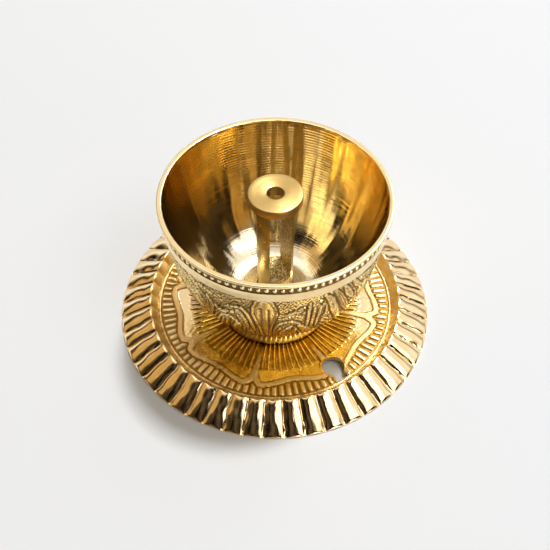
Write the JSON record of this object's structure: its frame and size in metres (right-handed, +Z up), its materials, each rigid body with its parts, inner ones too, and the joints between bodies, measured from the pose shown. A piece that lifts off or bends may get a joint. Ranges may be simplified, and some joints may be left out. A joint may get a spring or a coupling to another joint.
{
  "type": "oil lamp",
  "caption": "Brass oil lamp: a beaded bowl with a slotted wick post stands on a fluted plate with a keyhole, all held by a screw from below.",
  "frame": {"origin": "centre of the plate's underside, on the surface that the lamp stands on", "axes": "+Z up along the lamp's axis, +Y away from the front, +X to the right of the front"},
  "size_m": [0.1112, 0.1112, 0.0577],
  "materials": {
    "plate_brass": "cast and polished",
    "bowl_brass": "turned inside, chased and darkened outside",
    "post_brass": "turned outside, rough cast in the slot",
    "seal_fibre": "matt",
    "washer_steel": "zinc plated",
    "screw_brass": "turned"
  },
  "bodies": {
    "lamp": {"base_plate": "plate_brass", "oil_bowl": "bowl_brass", "screw_washer": "washer_steel", "fixing_screw": "screw_brass"},
    "seal": {"seal_washer": "seal_fibre"},
    "post": {"wick_post": "post_brass"}
  },
  "joints": [
    {"name": "post_rise", "type": "slide", "parent": "lamp", "child": "seal", "axis": [0, 0, 1], "range_m": [0, 0.0062]},
    {"name": "post_turn", "type": "hinge", "parent": "seal", "child": "post", "pos_m": [0, 0, 0.0123], "axis": [0, 0, 1], "range_deg": [0, 2160]}
  ],
  "couplings": [
    {"joint": "post_rise", "follows": "post_turn", "m_per_rad": 0.00015915}
  ]
}
